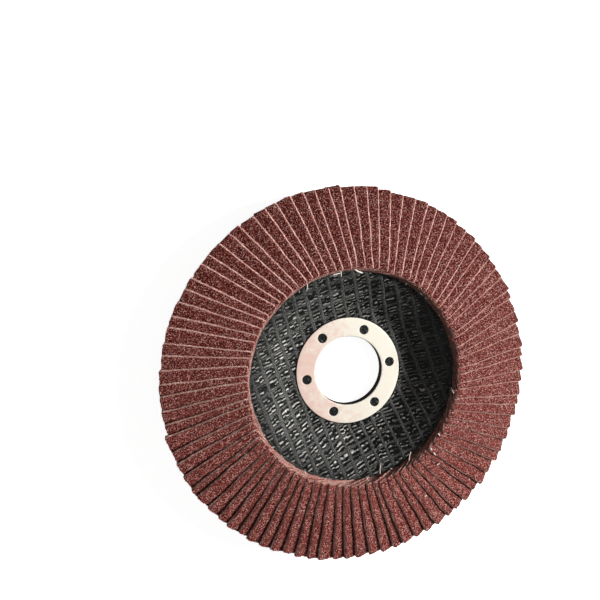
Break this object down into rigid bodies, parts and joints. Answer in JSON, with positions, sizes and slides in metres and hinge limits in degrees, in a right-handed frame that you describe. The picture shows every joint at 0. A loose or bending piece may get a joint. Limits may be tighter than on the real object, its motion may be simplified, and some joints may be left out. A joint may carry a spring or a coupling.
{
  "type": "flap disc",
  "caption": "Conical abrasive flap disc for an angle grinder: overlapping cloth flaps glued on a dished glass-fibre backing plate with a pressed steel bore ring.",
  "frame": {"origin": "centre of the bore at the hub's back face, on which the disc rests", "axes": "+Z along the bore axis towards the abrasive side; +X through one of the ring's key holes"},
  "size_m": [0.117, 0.1172, 0.0134],
  "materials": {
    "glass_fibre_resin": "black phenolic resin over an open glass fibre mesh, semi-gloss",
    "plated_steel": "pressed sheet steel, pale zinc plating with a pink and cream tint",
    "adhesive": "cured dark epoxy resin",
    "abrasive_cloth": "coarse red-brown aluminium oxide grain on cotton cloth"
  },
  "bodies": {
    "root": {"backing_plate": "glass_fibre_resin", "bore_ring": "plated_steel", "adhesive_bead": "adhesive", "flap_pair_01": "abrasive_cloth", "flap_pair_02": "abrasive_cloth", "flap_pair_03": "abrasive_cloth", "flap_pair_04": "abrasive_cloth", "flap_pair_05": "abrasive_cloth", "flap_pair_06": "abrasive_cloth", "flap_pair_07": "abrasive_cloth", "flap_pair_08": "abrasive_cloth", "flap_pair_09": "abrasive_cloth", "flap_pair_10": "abrasive_cloth", "flap_pair_11": "abrasive_cloth", "flap_pair_12": "abrasive_cloth", "flap_pair_13": "abrasive_cloth", "flap_pair_14": "abrasive_cloth", "flap_pair_15": "abrasive_cloth", "flap_pair_16": "abrasive_cloth", "flap_pair_17": "abrasive_cloth", "flap_pair_18": "abrasive_cloth", "flap_pair_19": "abrasive_cloth", "flap_pair_20": "abrasive_cloth", "flap_pair_21": "abrasive_cloth", "flap_pair_22": "abrasive_cloth", "flap_pair_23": "abrasive_cloth", "flap_pair_24": "abrasive_cloth", "flap_pair_25": "abrasive_cloth", "flap_pair_26": "abrasive_cloth", "flap_pair_27": "abrasive_cloth", "flap_pair_28": "abrasive_cloth", "flap_pair_29": "abrasive_cloth", "flap_pair_30": "abrasive_cloth", "flap_pair_31": "abrasive_cloth", "flap_pair_32": "abrasive_cloth", "flap_pair_33": "abrasive_cloth", "flap_pair_34": "abrasive_cloth", "flap_pair_35": "abrasive_cloth", "flap_pair_36": "abrasive_cloth", "flap_pair_37": "abrasive_cloth", "flap_pair_38": "abrasive_cloth", "flap_pair_39": "abrasive_cloth", "flap_pair_40": "abrasive_cloth", "flap_pair_41": "abrasive_cloth", "flap_pair_42": "abrasive_cloth", "flap_pair_43": "abrasive_cloth", "flap_pair_44": "abrasive_cloth", "flap_pair_45": "abrasive_cloth"}
  },
  "joints": []
}
